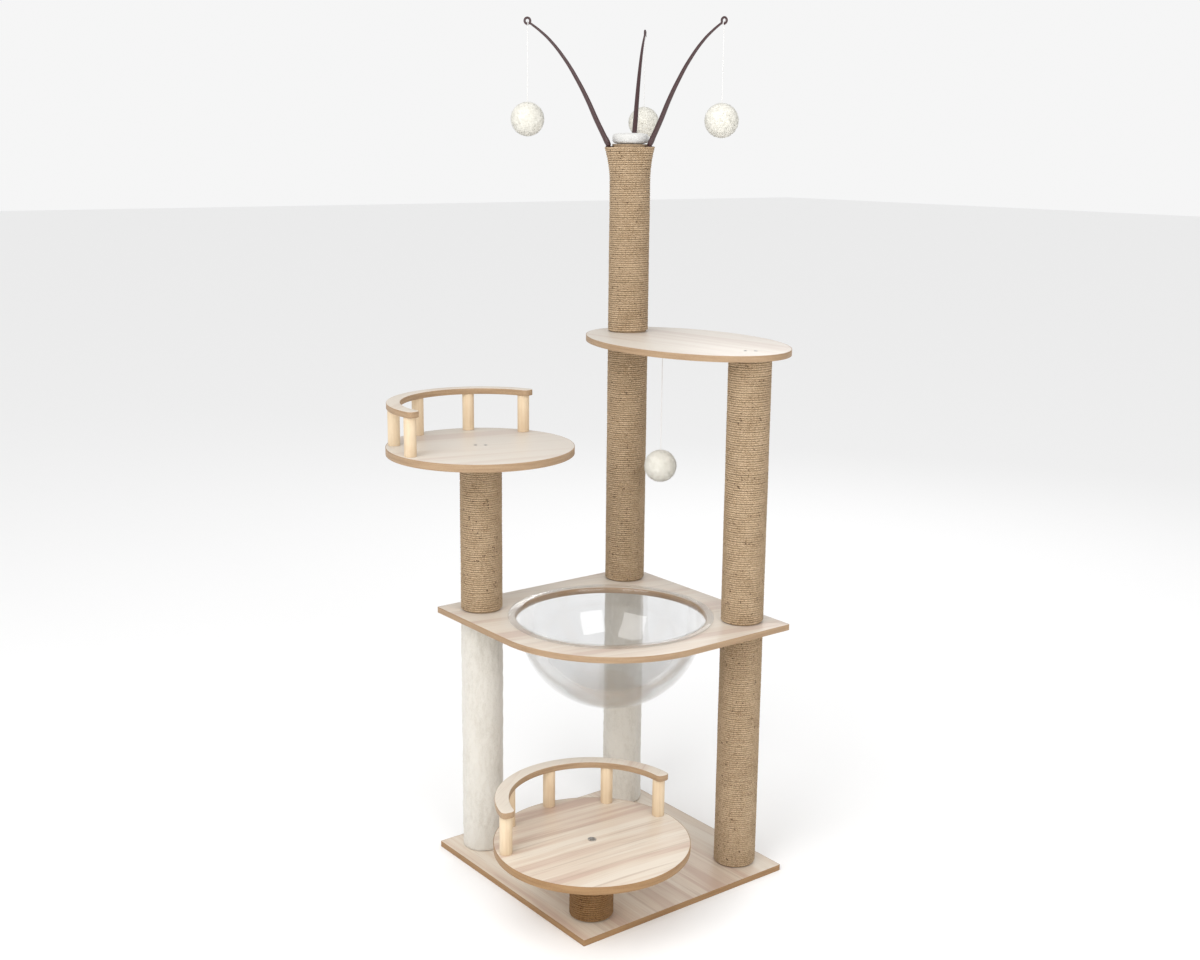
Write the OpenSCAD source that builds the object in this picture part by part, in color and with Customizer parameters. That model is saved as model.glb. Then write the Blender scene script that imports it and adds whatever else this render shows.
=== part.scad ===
// Cat tree: a square base, a shelf with a clear bowl, an oval perch and two round seats on wrapped posts.
// Frame: origin at the centre of the base's underside, +Z up, the base's sides along X and Y.
// The corner at -X -Y is the front one, where the shelf is rounded and the low seat stands.

/* [Boards] */
// Side of the square base and of the shelf
base_side = 500; // [480:10:540]
// Thickness of the base, the shelf and the perch
board_t = 12; // [10:1:15]
// Thickness of the edge banding
band_t = 1; // [0.6:0.2:2]
// Height of the shelf's top face
shelf_top = 525; // [480:5:560]
// Height of the perch's top face
perch_top = 1060; // [1000:10:1100]
// Length of the oval perch
perch_length = 502; // [480:2:520]
// Width of the oval perch
perch_width = 324; // [300:2:340]

/* [Seats] */
// Diameter of the two round seats
seat_d = 371; // [360:1:380]
// Thickness of the round seats
seat_t = 15; // [12:1:18]
// Height of the low seat's top face
low_seat_top = 163; // [130:1:200]
// Height of the high seat's top face
high_seat_top = 860; // [800:10:900]
// Clear height under the back rails
rail_lift = 76; // [60:1:100]
// Thickness of the back rails
rail_t = 12; // [10:1:16]
// Width of the back rails
rail_w = 27; // [26:1:30]
// Half of the angle that a back rail spans
rail_half_angle = 86; // [84:1:92]
// Diameter of the spindles
spindle_d = 24; // [20:1:26]

/* [Posts] */
// Outer diameter of the cardboard tubes
tube_d = 75; // [70:1:78]
// Wall of the cardboard tubes
tube_wall = 3; // [2:0.5:4]
// Thickness of the rope or plush around the tubes
wrap_t = 4.5; // [4:0.5:5]
// Height of the tallest post, without its cap
post_top = 1437; // [1400:1:1500]
// How far the rope spreads over the wand sockets at the top
flare = 14; // [13:1:15]

/* [Bowl] */
// Outer diameter of the bowl where it passes the shelf
bowl_d = 374; // [368:2:376]
// Depth of the bowl below the shelf's top face
bowl_depth = 184; // [150:1:190]
// Wall of the bowl
bowl_wall = 3; // [2:0.5:4]
// Outer diameter of the bowl's flange
flange_d = 410; // [404:2:414]

/* [Wands and pompoms] */
// Diameter of a wand at its root
wand_root_d = 10.5; // [10:0.5:11]
// Diameter of a wand at its tip
wand_tip_d = 4.2; // [4:0.1:4.4]
// Diameter of the pompoms
pompom_d = 68; // [60:1:70]
// Drop from a wand's ring to the middle of its pompom
wand_drop = 186; // [150:1:200]
// Drop from the perch's hook to the middle of its pompom
perch_drop = 238; // [200:1:260]
// Diameter of the strings
string_d = 1.6; // [1.4:0.2:2]

/* [Hidden] */

// plan positions of the four posts
left_post = [-182, 190];
back_post = [190, 196];
right_post = [191, -176];
front_post = [-177, -176];
post_r = tube_d / 2 + wrap_t;

// fasteners and plugs
bolt_d = 8;
bolt_gap = 0.1;
bolt_head_d = 13;
bolt_head_h = 3;
washer_d = 20;
washer_t = 1.5;
recess_h = 5.5;
recess_d = 22;
plug_h = 16;
stud_reach = 14;
screw_d = 3;
screw_head_d = 7;
screw_head_h = 1.6;
screw_reach = 22;
dowel_d = 6;
dowel_reach = 8;

// the perch stands on the back and right posts
perch_centre = [190, 11];
hook_at = [170, 58];
perch_under = perch_top - board_t;
shelf_under = shelf_top - board_t;
low_seat_under = low_seat_top - seat_t;
high_seat_under = high_seat_top - seat_t;

// the bowl hangs in the shelf's hole with a little play
hole_d = bowl_d + 6;
flange_t = 3;

// back rails: the spindles stand on a circle just inside the seat's edge
rail_r = seat_d / 2 - rail_w / 2 - 3;
spindle_step = 40;
spindle_count = 5;
low_rail_turn = 83;
high_rail_turn = 105.5;

// the cap closes the tallest post and a soft pad lies on it
cap_t = 4;
cap_d = 74;
pad_r = 41;
pad_h = 22;

// wands: they leave the rope at a lean and arch outwards, as radius and height from the pivot
wand_turns = [164, 284, 44];
pivot_r = 48.5;
pivot_z = post_top + 3;
wand_route = [[0, 0], [8.5, 15], [26.5, 48], [45.5, 86], [67.5, 124], [93.5, 162], [125.5, 198],
    [147.5, 216], [168, 229.5]];
ring_at = [172.5, 233];
ring_r = 5.75;
ring_wire = 2.25;
ball_r = wand_root_d / 2;
ball_gap = 0.4;
socket_r = 7;
// the cup's rim lies below the pivot, so that the wand clears it when it leans out
cup_cut = 3;
cup_clear_r = 12;
stem_r = 4.8;
stem_h = 24;
flare_h = 70;

// each string hangs from a thread loop that runs round the lowest part of a ring
loop_r = 3.5;
string_gap = 0.3;
hook_r = 5.5;
hook_wire = 1.5;
hook_shank = 6;
hook_depth = 8;
string_sides = 8;
string_pieces = 5;

// ---- shapes that repeat ----

// a bore or shaft along Z from one height to another
module pillar(at, z0, z1, d) {
    translate([at[0], at[1], z0]) cylinder(d = d, h = z1 - z0, $fn = 96);
}

// a hollow cylinder along Z
module sleeve(at, z0, z1, outer, inner) {
    difference() {
        pillar(at, z0, z1, outer);
        pillar(at, z0 - 1, z1 + 1, inner);
    }
}

module tube(at, z0, z1) {
    color("tan") sleeve(at, z0, z1, tube_d, tube_d - 2 * tube_wall);
}

module rope(at, z0, z1) {
    color("burlywood") sleeve(at, z0, z1, 2 * post_r, tube_d);
}

module plush(at, z0, z1) {
    color("ivory") sleeve(at, z0, z1, 2 * post_r, tube_d);
}

// plugs in both ends of a tube, drilled for a bolt or stud
module plug_pair(at, z0, z1) {
    sleeve(at, z0, z0 + plug_h, tube_d - 2 * tube_wall, bolt_d + 2 * bolt_gap);
    sleeve(at, z1 - plug_h, z1, tube_d - 2 * tube_wall, bolt_d + 2 * bolt_gap);
}

// outline of the shelf: a square whose front corner is a quarter circle round the bowl
module shelf_outline(inset) {
    half = base_side / 2 - inset;
    difference() {
        square(2 * half, center = true);
        translate([-half - 1, -half - 1]) square(half + 1);
    }
    circle(r = half, $fn = 180);
}

// outline of the perch: an ellipse
module perch_outline(inset) {
    long = perch_length / 2 - inset;
    short = perch_width / 2 - inset;
    translate(perch_centre)
        polygon([for (a = [0 : 3 : 357]) [short * cos(a), long * sin(a)]]);
}

// a round seat board with its screw holes, underside at z
module seat_board(at, z, turn) {
    color("wheat") difference() {
        pillar(at, z, z + seat_t, seat_d - 2 * band_t);
        spindle_places(at, turn) {
            pillar([0, 0], z - 1, z + seat_t + 1, screw_d);
            pillar([0, 0], z - 1, z + screw_head_h, screw_head_d);
        }
        children();
    }
}

module seat_band(at, z) {
    color("peru") sleeve(at, z, z + seat_t, seat_d, seat_d - 2 * band_t);
}

// the five places round a seat where a spindle stands
module spindle_places(at, turn) {
    for (k = [0 : spindle_count - 1])
        translate(at)
            rotate(turn + (k - (spindle_count - 1) / 2) * spindle_step)
                translate([rail_r, 0]) children();
}

// a C-shaped back rail, drilled underneath for the dowels
module rail(at, z, turn) {
    inner = rail_r - rail_w / 2;
    color("wheat") difference() {
        translate([at[0], at[1], z]) rotate(turn - rail_half_angle)
            rotate_extrude(angle = 2 * rail_half_angle, $fn = 180)
                translate([inner, 0]) square([rail_w, rail_t]);
        spindle_places(at, turn) pillar([0, 0], z - 1, z + dowel_reach, dowel_d);
    }
}

module spindles(at, z, turn) {
    color("wheat") spindle_places(at, turn) difference() {
        pillar([0, 0], z, z + rail_lift, spindle_d);
        pillar([0, 0], z - 1, z + screw_reach, screw_d);
        pillar([0, 0], z + rail_lift - dowel_reach, z + rail_lift + 1, dowel_d);
    }
}

// points of a round cord swept along a route in the X-Z plane, one ring of points per route point
function heading(route, k) =
    let (a = route[max(k - 1, 0)], b = route[min(k + 1, len(route) - 1)]) (b - a) / norm(b - a);
function swept_points(route, r, sides) = [
    for (k = [0 : len(route) - 1], s = [0 : sides - 1])
        let (h = heading(route, k), a = 360 * s / sides)
            [route[k][0] + r * cos(a) * h[1], r * sin(a), route[k][1] - r * cos(a) * h[0]]];
// faces that join stacked rings of points and close both ends
function ring_faces(rings, sides) = concat(
    [[for (s = [0 : sides - 1]) s]],
    [for (k = [0 : rings - 2], s = [0 : sides - 1])
        let (t = (s + 1) % sides)
            [k * sides + s, (k + 1) * sides + s, (k + 1) * sides + t, k * sides + t]],
    [[for (s = [sides - 1 : -1 : 0]) (rings - 1) * sides + s]]);

// a torus standing upright with its axis along Y
module upright_ring(r, wire) {
    rotate([90, 0, 0]) rotate_extrude($fn = 48) translate([r, 0]) circle(r = wire, $fn = 24);
}

// moves a shape to a wand's pivot, turned so that +X points outwards
module at_wand(k) {
    translate([back_post[0], back_post[1], pivot_z]) rotate(wand_turns[k])
        translate([pivot_r, 0]) children();
}

// one bead of a wand: its width falls from the root to the tip
module wand_bead(j) {
    taper = j / (len(wand_route) - 1);
    translate([wand_route[j][0], 0, wand_route[j][1]])
        sphere(d = wand_root_d + (wand_tip_d - wand_root_d) * taper, $fn = 24);
}

module wand(k) {
    color("saddlebrown") at_wand(k) {
        for (j = [0 : len(wand_route) - 2]) hull() {
            wand_bead(j);
            wand_bead(j + 1);
        }
        translate([ring_at[0], 0, ring_at[1]]) upright_ring(ring_r, ring_wire);
    }
}

// the middle of the lowest part of a wand's ring, seen from its pivot
module at_wand_ring(k) {
    at_wand(k) translate([ring_at[0], 0, ring_at[1] - ring_r]) children();
}

module at_hook_ring() {
    translate([hook_at[0], hook_at[1], perch_under - hook_shank - hook_r]) rotate(90)
        translate([0, 0, -hook_r]) children();
}

// thread loop round the ring's wire, standing across it
module thread_loop() {
    color("white") rotate(90) upright_ring(loop_r, string_d / 2);
}

// string from under its loop down into the middle of its pompom
module string(drop) {
    top = -loop_r - string_d / 2 - string_gap;
    route = [for (k = [0 : string_pieces]) [0, top + (-drop - top) * k / string_pieces]];
    color("white") polyhedron(
        swept_points(route, string_d / 2, string_sides), ring_faces(len(route), string_sides));
}

module pompom(drop) {
    color("ivory") translate([0, 0, -drop]) sphere(d = pompom_d, $fn = 48);
}

// distances from the lowest part of a ring to the middle of its pompom
wand_fall = wand_drop - ring_r;
perch_fall = perch_drop - hook_r;

// ---- base ----

module base_board() {
    color("wheat") difference() {
        translate([0, 0, board_t / 2])
            cube([base_side - 2 * band_t, base_side - 2 * band_t, board_t], center = true);
        for (p = [left_post, back_post, right_post, front_post]) {
            pillar(p, -1, board_t + 1, bolt_d + 2 * bolt_gap);
            pillar(p, -1, recess_h, recess_d);
        }
    }
}

module base_edge_band() {
    color("peru") linear_extrude(board_t) difference() {
        square(base_side, center = true);
        square(base_side - 2 * band_t, center = true);
    }
}

module base_bolts() {
    head_z = recess_h - washer_t - bolt_head_h;
    color("silver") for (p = [left_post, back_post, right_post, front_post]) {
        pillar(p, head_z, head_z + bolt_head_h, bolt_head_d);
        pillar(p, head_z + bolt_head_h, board_t + stud_reach, bolt_d);
    }
}

module base_washers() {
    color("silver") for (p = [left_post, back_post, right_post, front_post])
        sleeve(p, recess_h - washer_t, recess_h, washer_d, bolt_d + 2 * bolt_gap);
}

// ---- posts ----

module left_lower_tube() { tube(left_post, board_t, shelf_under); }
module left_lower_plush() { plush(left_post, board_t, shelf_under); }
module left_upper_tube() { tube(left_post, shelf_top, high_seat_under); }
module left_upper_rope() { rope(left_post, shelf_top, high_seat_under); }
module back_lower_tube() { tube(back_post, board_t, shelf_under); }
module back_lower_plush() { plush(back_post, board_t, shelf_under); }
module back_middle_tube() { tube(back_post, shelf_top, perch_under); }
module back_middle_rope() { rope(back_post, shelf_top, perch_under); }
module back_top_tube() { tube(back_post, perch_top, post_top); }
module right_lower_tube() { tube(right_post, board_t, shelf_under); }
module right_lower_rope() { rope(right_post, board_t, shelf_under); }
module right_upper_tube() { tube(right_post, shelf_top, perch_under); }
module right_upper_rope() { rope(right_post, shelf_top, perch_under); }
module front_tube() { tube(front_post, board_t, low_seat_under); }
module front_rope() { rope(front_post, board_t, low_seat_under); }

// radius of the rope's top stretch: it spreads into three soft lobes over the wand sockets
function lobe(a) = pow((1 + cos(3 * (a - wand_turns[0]))) / 2, 1.3);
function flare_r(a, t) = post_r + flare * pow(t, 1.7) * (0.25 + 0.75 * lobe(a));

module back_top_rope() {
    steps = 7;
    sides = 48;
    z0 = post_top - flare_h;
    points = [for (k = [0 : steps], s = [0 : sides - 1])
        let (t = k / steps, a = 360 * s / sides, r = flare_r(a, t)) [r * cos(a), r * sin(a), z0 + t * flare_h]];
    color("burlywood") difference() {
        union() {
            pillar(back_post, perch_top, z0 + 1, 2 * post_r);
            translate([back_post[0], back_post[1], 0]) polyhedron(points, ring_faces(steps + 1, sides), convexity = 4);
        }
        pillar(back_post, perch_top - 1, post_top + 1, tube_d);
        for (k = [0 : 2]) at_wand(k) socket_shape();
    }
}

module post_plugs() {
    color("dimgray") {
        plug_pair(left_post, board_t, shelf_under);
        plug_pair(left_post, shelf_top, high_seat_under);
        plug_pair(back_post, board_t, shelf_under);
        plug_pair(back_post, shelf_top, perch_under);
        plug_pair(back_post, perch_top, post_top);
        plug_pair(right_post, board_t, shelf_under);
        plug_pair(right_post, shelf_top, perch_under);
        plug_pair(front_post, board_t, low_seat_under);
    }
}

// headless studs that join a post to the one above it through a board
module joining_studs() {
    color("silver") {
        for (p = [left_post, back_post, right_post])
            pillar(p, shelf_under - stud_reach, shelf_top + stud_reach, bolt_d);
        pillar(back_post, perch_under - stud_reach, perch_top + stud_reach, bolt_d);
    }
}

// ---- shelf and bowl ----

module shelf_board() {
    color("wheat") difference() {
        translate([0, 0, shelf_under]) linear_extrude(board_t) shelf_outline(band_t);
        pillar([0, 0], shelf_under - 1, shelf_top + 1, hole_d + 2 * band_t);
        for (p = [left_post, back_post, right_post])
            pillar(p, shelf_under - 1, shelf_top + 1, bolt_d + 2 * bolt_gap);
    }
}

module shelf_edge_band() {
    color("peru") translate([0, 0, shelf_under]) linear_extrude(board_t) difference() {
        shelf_outline(0);
        shelf_outline(band_t);
    }
}

module bowl_hole_band() {
    color("peru") sleeve([0, 0], shelf_under, shelf_top, hole_d + 2 * band_t, hole_d);
}

// half of the bowl's section: a quarter ellipse with a flange that rests on the shelf
module bowl() {
    r = bowl_d / 2;
    outer = [for (a = [0 : 5 : 90]) [r * cos(a), -bowl_depth * sin(a)]];
    inner = [for (a = [90 : -5 : 0]) [(r - bowl_wall) * cos(a), -(bowl_depth - bowl_wall) * sin(a)]];
    lip = [[r - bowl_wall, flange_t], [flange_d / 2, flange_t], [flange_d / 2, 0]];
    color("azure", 0.4) translate([0, 0, shelf_top])
        rotate_extrude($fn = 120) polygon(concat(outer, inner, lip));
}

// ---- perch ----

module perch_board() {
    color("wheat") difference() {
        translate([0, 0, perch_under]) linear_extrude(board_t) perch_outline(band_t);
        pillar(back_post, perch_under - 1, perch_top + 1, bolt_d + 2 * bolt_gap);
        pillar(hook_at, perch_under - 1, perch_under + hook_depth, hook_wire * 2);
        screw_places(right_post) seat_screw_space(perch_top);
    }
}

module perch_edge_band() {
    color("peru") translate([0, 0, perch_under]) linear_extrude(board_t) difference() {
        perch_outline(0);
        perch_outline(band_t);
    }
}

module perch_hook() {
    color("silver") {
        pillar(hook_at, perch_under - hook_shank, perch_under + hook_depth, hook_wire * 2);
        translate([0, 0, hook_r]) at_hook_ring() upright_ring(hook_r, hook_wire);
    }
}

// ---- seats ----

// a pair of screws down into the plug of the post below
module screw_places(at) {
    for (side = [-1, 1]) translate([at[0] + 8 * side, at[1] - 6 * side]) children();
}

module seat_screw_space(top) {
    pillar([0, 0], top - screw_reach, top + 1, screw_d);
    pillar([0, 0], top - screw_head_h, top + 1, screw_head_d);
}

module seat_screw(top) {
    pillar([0, 0], top - screw_reach, top - screw_head_h, screw_d);
    pillar([0, 0], top - screw_head_h, top, screw_head_d);
}

module seat_screws() {
    color("silver") {
        screw_places(left_post) seat_screw(high_seat_top);
        screw_places(right_post) seat_screw(perch_top);
    }
}

module low_seat_bolt() {
    color("silver") {
        pillar(front_post, low_seat_under - stud_reach, low_seat_top, bolt_d);
        pillar(front_post, low_seat_top, low_seat_top + 2, 16);
    }
}

module high_seat_board() {
    seat_board(left_post, high_seat_under, high_rail_turn)
        screw_places(left_post) seat_screw_space(high_seat_top);
}
module high_seat_band() { seat_band(left_post, high_seat_under); }
module high_rail() { rail(left_post, high_seat_top + rail_lift, high_rail_turn); }
module high_spindles() { spindles(left_post, high_seat_top, high_rail_turn); }

module low_seat_board() {
    seat_board(front_post, low_seat_under, low_rail_turn)
        pillar(front_post, low_seat_under - 1, low_seat_top + 1, bolt_d + 2 * bolt_gap);
}
module low_seat_band() { seat_band(front_post, low_seat_under); }
module low_rail() { rail(front_post, low_seat_top + rail_lift, low_rail_turn); }
module low_spindles() { spindles(front_post, low_seat_top, low_rail_turn); }

module spindle_screw_set(at, z, turn) {
    spindle_places(at, turn) {
        pillar([0, 0], z, z + screw_head_h, screw_head_d);
        pillar([0, 0], z + screw_head_h, z + seat_t + screw_reach, screw_d);
    }
}

module spindle_screws() {
    color("silver") {
        spindle_screw_set(left_post, high_seat_under, high_rail_turn);
        spindle_screw_set(front_post, low_seat_under, low_rail_turn);
    }
}

module dowel_set(at, z, turn) {
    spindle_places(at, turn) pillar([0, 0], z - dowel_reach, z + dowel_reach, dowel_d);
}

module rail_dowels() {
    color("tan") {
        dowel_set(left_post, high_seat_top + rail_lift, high_rail_turn);
        dowel_set(front_post, low_seat_top + rail_lift, low_rail_turn);
    }
}

// ---- top of the tallest post ----

module top_cap() {
    color("dimgray") pillar(back_post, post_top, post_top + cap_t, cap_d);
}

// a low round pad with soft edges
module top_pad() {
    round_r = pad_h / 2;
    color("ivory") translate([back_post[0], back_post[1], post_top + cap_t])
        rotate_extrude($fn = 72) union() {
            square([pad_r - round_r, pad_h]);
            translate([pad_r - round_r, round_r])
                intersection() {
                    circle(r = round_r, $fn = 48);
                    translate([0, -round_r]) square([round_r, pad_h]);
                }
        }
}

// a socket's outer shape: a stem beside the tube and a ball end round the wand's pivot
module socket_shape() {
    sphere(r = socket_r, $fn = 32);
    translate([tube_d / 2 + stem_r + 0.2 - pivot_r, 0, -stem_h]) cylinder(r = stem_r, h = stem_h, $fn = 48);
}

module wand_sockets() {
    color("saddlebrown") for (k = [0 : 2]) at_wand(k) difference() {
        socket_shape();
        sphere(r = ball_r + ball_gap, $fn = 32);
        translate([0, 0, -cup_cut]) cylinder(r = cup_clear_r, h = socket_r + 2 * cup_cut, $fn = 48);
    }
}

module left_wand() { wand(0); }
module right_wand() { wand(1); }
module back_wand() { wand(2); }

// ---- hanging pompoms ----

module left_loop() { at_wand_ring(0) thread_loop(); }
module right_loop() { at_wand_ring(1) thread_loop(); }
module back_loop() { at_wand_ring(2) thread_loop(); }
module perch_loop() { at_hook_ring() thread_loop(); }
module left_string() { at_wand_ring(0) string(wand_fall); }
module right_string() { at_wand_ring(1) string(wand_fall); }
module back_string() { at_wand_ring(2) string(wand_fall); }
module perch_string() { at_hook_ring() string(perch_fall); }
module left_pompom() { at_wand_ring(0) pompom(wand_fall); }
module right_pompom() { at_wand_ring(1) pompom(wand_fall); }
module back_pompom() { at_wand_ring(2) pompom(wand_fall); }
module perch_pompom() { at_hook_ring() pompom(perch_fall); }

base_board();
base_edge_band();
base_bolts();
base_washers();
left_lower_tube();
left_lower_plush();
left_upper_tube();
left_upper_rope();
back_lower_tube();
back_lower_plush();
back_middle_tube();
back_middle_rope();
back_top_tube();
back_top_rope();
right_lower_tube();
right_lower_rope();
right_upper_tube();
right_upper_rope();
front_tube();
front_rope();
post_plugs();
shelf_board();
shelf_edge_band();
bowl_hole_band();
joining_studs();
bowl();
perch_board();
perch_edge_band();
perch_hook();
high_seat_board();
high_seat_band();
high_rail();
high_spindles();
low_seat_board();
low_seat_band();
low_rail();
low_spindles();
seat_screws();
low_seat_bolt();
spindle_screws();
rail_dowels();
top_cap();
top_pad();
wand_sockets();
left_wand();
right_wand();
back_wand();
left_loop();
right_loop();
back_loop();
perch_loop();
left_string();
right_string();
back_string();
perch_string();
left_pompom();
right_pompom();
back_pompom();
perch_pompom();
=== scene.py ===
import math
import random

import bmesh
import bpy
import numpy as np
from mathutils import Matrix, Vector, noise


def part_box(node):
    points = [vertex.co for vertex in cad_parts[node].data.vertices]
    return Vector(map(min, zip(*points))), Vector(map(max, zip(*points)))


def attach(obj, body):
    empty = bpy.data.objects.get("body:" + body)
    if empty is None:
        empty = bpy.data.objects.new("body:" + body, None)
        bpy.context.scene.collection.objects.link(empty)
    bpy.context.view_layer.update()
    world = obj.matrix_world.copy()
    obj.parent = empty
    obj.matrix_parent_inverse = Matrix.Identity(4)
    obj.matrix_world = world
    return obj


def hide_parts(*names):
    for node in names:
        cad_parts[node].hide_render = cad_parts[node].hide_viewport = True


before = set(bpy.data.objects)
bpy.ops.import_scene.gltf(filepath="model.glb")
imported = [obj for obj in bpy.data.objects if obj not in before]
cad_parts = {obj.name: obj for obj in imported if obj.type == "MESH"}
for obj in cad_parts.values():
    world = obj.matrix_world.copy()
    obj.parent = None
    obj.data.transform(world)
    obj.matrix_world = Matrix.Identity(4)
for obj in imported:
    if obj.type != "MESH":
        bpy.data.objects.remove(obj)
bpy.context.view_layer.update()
weld = 0.00001  # points closer than this are one

cameraSet = {
    "place": (-1.748, -2.225, 1.437),
    "lens": 44.6,  # mm
    "turn": -37.66,  # degrees from looking along +Y
    "tilt": -12.67,
    "roll": 0.58,
}


def makeCamera():
    data = bpy.data.cameras.new("camera")
    data.lens = cameraSet["lens"]
    camera = addObject("camera", data)
    turned = Matrix.Rotation(math.radians(cameraSet["turn"]), 4, "Z")
    tilted = Matrix.Rotation(math.radians(90 + cameraSet["tilt"]), 4, "X")
    rolled = Matrix.Rotation(math.radians(cameraSet["roll"]), 4, "Z")
    camera.matrix_world = Matrix.Translation(cameraSet["place"]) @ turned @ tilted @ rolled
    bpy.context.scene.camera = camera


studio = {
    "backdrop": 0.92,  # how bright the sky looks
    "skyStrength": 0.57,  # how much it lights
    "floor": (0.96, 0.96, 0.96),
    "floorSize": 60.0,
    "panel": {"place": (0, 0, 3), "turn": 205, "rise": 66, "strength": 1.10, "soft": 60},  # angles in degrees
    "boxes": [  # name, place, aimed at, width, height, power in watts
        ("leftBox", (-2.55, -0.80, 2.15), (0.07, 0.13, 0.46), 1.75, 1.9, 33),
        ("frontBox", (-0.50, -2.62, 1.86), (0.07, 0.15, 0.46), 1.6, 1.6, 24),
        ("backBox", (2.5, 1.7, 2.5), (0, 0, 0.8), 1.5, 1.5, 14),
    ],
}


def addLight(kind, name, place, aim, energy):
    data = bpy.data.lights.new(name, kind)
    data.energy = energy
    light = addObject(name, data)
    aimed = Vector(aim).to_track_quat("-Z", "Y").to_matrix().to_4x4()
    light.matrix_world = Matrix.Translation(place) @ aimed
    light.visible_camera = False
    return data


def makeStudio():
    world = bpy.data.worlds.new("studio")
    world.use_nodes = True
    nodes, links = world.node_tree.nodes, world.node_tree.links
    seen = nodes.new("ShaderNodeLightPath")
    bright = nodes.new("ShaderNodeMapRange")
    bright.inputs["To Min"].default_value = studio["skyStrength"]
    bright.inputs["To Max"].default_value = studio["backdrop"]
    links.new(seen.outputs["Is Camera Ray"], bright.inputs["Value"])
    nodes["Background"].inputs["Color"].default_value = (1, 1, 1, 1)
    links.new(bright.outputs[0], nodes["Background"].inputs["Strength"])
    bpy.context.scene.world = world
    bpy.context.scene.view_settings.view_transform = "Standard"
    panel = studio["panel"]
    turn, rise = math.radians(panel["turn"]), math.radians(panel["rise"])
    down = (-math.cos(turn) * math.cos(rise), -math.sin(turn) * math.cos(rise), -math.sin(rise))
    light = addLight("SUN", "skyPanel", panel["place"], down, panel["strength"])
    light.angle = math.radians(panel["soft"])
    bpy.data.objects["skyPanel"].visible_glossy = False
    for name, place, target, width, height, power in studio["boxes"]:
        light = addLight("AREA", name, place, Vector(target) - Vector(place), power)
        light.shape = "RECTANGLE"
        light.size = width
        light.size_y = height
    bm = bmesh.new()
    bmesh.ops.create_grid(bm, x_segments=1, y_segments=1, size=studio["floorSize"] / 2)
    floor = addObject("floor", asMesh("floor", bm))
    paper, shader = newMaterial("floorPaper", roughness=0.9)
    shader.inputs["Base Color"].default_value = (*studio["floor"], 1)
    floor.data.materials.append(paper)


def addObject(name, data):
    made = bpy.data.objects.new(name, data)
    bpy.context.scene.collection.objects.link(made)
    return made


def asMesh(name, bm):
    mesh = bpy.data.meshes.new(name)
    bm.to_mesh(mesh)
    bm.free()
    return mesh


inputNames = {
    "roughness": "Roughness", "metallic": "Metallic", "specular": "Specular IOR Level",
    "sheen": "Sheen Weight", "sheenRoughness": "Sheen Roughness",
    "coat": "Coat Weight", "coatRoughness": "Coat Roughness", "coatIor": "Coat IOR",
    "ior": "IOR", "transmission": "Transmission Weight", "alpha": "Alpha",
}


def newMaterial(name, **settings):
    material = bpy.data.materials.new(name)
    material.use_nodes = True
    shader = material.node_tree.nodes["Principled BSDF"]
    for key, value in settings.items():
        shader.inputs[inputNames[key]].default_value = value
    return material, shader


def put(material, kind, inputs=None, **settings):
    # adds one shader node; an input is either a value or another node's output
    made = material.node_tree.nodes.new("ShaderNode" + kind)
    for key, value in settings.items():
        setattr(made, key, value)
    for key, value in (inputs or {}).items():
        if isinstance(value, bpy.types.NodeSocket):
            material.node_tree.links.new(value, made.inputs[key])
        else:
            made.inputs[key].default_value = value
    return made


def sums(material, operation, first, second=0.0, third=0.0):
    made = put(material, "Math", {0: first, 1: second, 2: third}, operation=operation)
    return made.outputs[0]


def ownPlace(material):
    # every piece's own coordinates are also the frame's
    return put(material, "TexCoord").outputs["Object"]


def grainAt(material, place, scale=1.0, detail=2.0, rough=0.5, squeeze=None):
    # fine noise over a surface, squeezed along an axis where that is given
    if squeeze:
        place = put(material, "Mapping", {"Vector": place, "Scale": squeeze}).outputs[0]
    made = put(material, "TexNoise", {"Vector": place, "Scale": scale, "Detail": detail, "Roughness": rough})
    return made.outputs["Fac"]


def ramp(material, factor, stops):
    made = put(material, "ValToRGB", {"Fac": factor})
    bands = made.color_ramp.elements
    while len(bands) < len(stops):
        bands.new(0.5)
    for band, (place, colour) in zip(bands, stops):
        band.position = place
        band.color = (*colour, 1)
    return made.outputs["Color"]


def blendColour(material, factor, first, second, kind="MIX"):
    made = put(material, "Mix", data_type="RGBA", blend_type=kind)
    for index, value in ((0, factor), (6, first), (7, second)):
        if isinstance(value, bpy.types.NodeSocket):
            material.node_tree.links.new(value, made.inputs[index])
        else:
            made.inputs[index].default_value = value if index == 0 else (*value, 1)
    return made.outputs[2]


def setColour(material, shader, colour):
    material.node_tree.links.new(colour, shader.inputs["Base Color"])


def setBump(material, shader, height, strength, distance):
    bump = put(material, "Bump", {"Height": height, "Strength": strength, "Distance": distance})
    material.node_tree.links.new(bump.outputs["Normal"], shader.inputs["Normal"])


def finishPiece(name, shape, body, material, node):
    # turns a bmesh or mesh into a piece that rides on a body and stands for a CAD node
    mesh = asMesh(name, shape) if isinstance(shape, bmesh.types.BMesh) else shape
    mesh.materials.clear()
    mesh.materials.append(material)
    mesh.shade_smooth()
    piece = addObject(name, mesh)
    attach(piece, body)
    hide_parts(node)
    return piece


def vertsOf(made):
    return [v for v in made if isinstance(v, bmesh.types.BMVert)]


def edgesRound(verts):
    return list({e for v in verts for e in v.link_edges})


def sharpEdges(bm, angle=0.9):
    # angles between faces are in radians
    return [e for e in bm.edges if len(e.link_faces) == 2 and e.calc_face_angle() > angle]


def soften(bm, width, segments=3):
    bmesh.ops.bevel(bm, geom=sharpEdges(bm), offset=width, segments=segments, profile=0.5,
                    affect="EDGES", material=-1, clamp_overlap=True)


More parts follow.
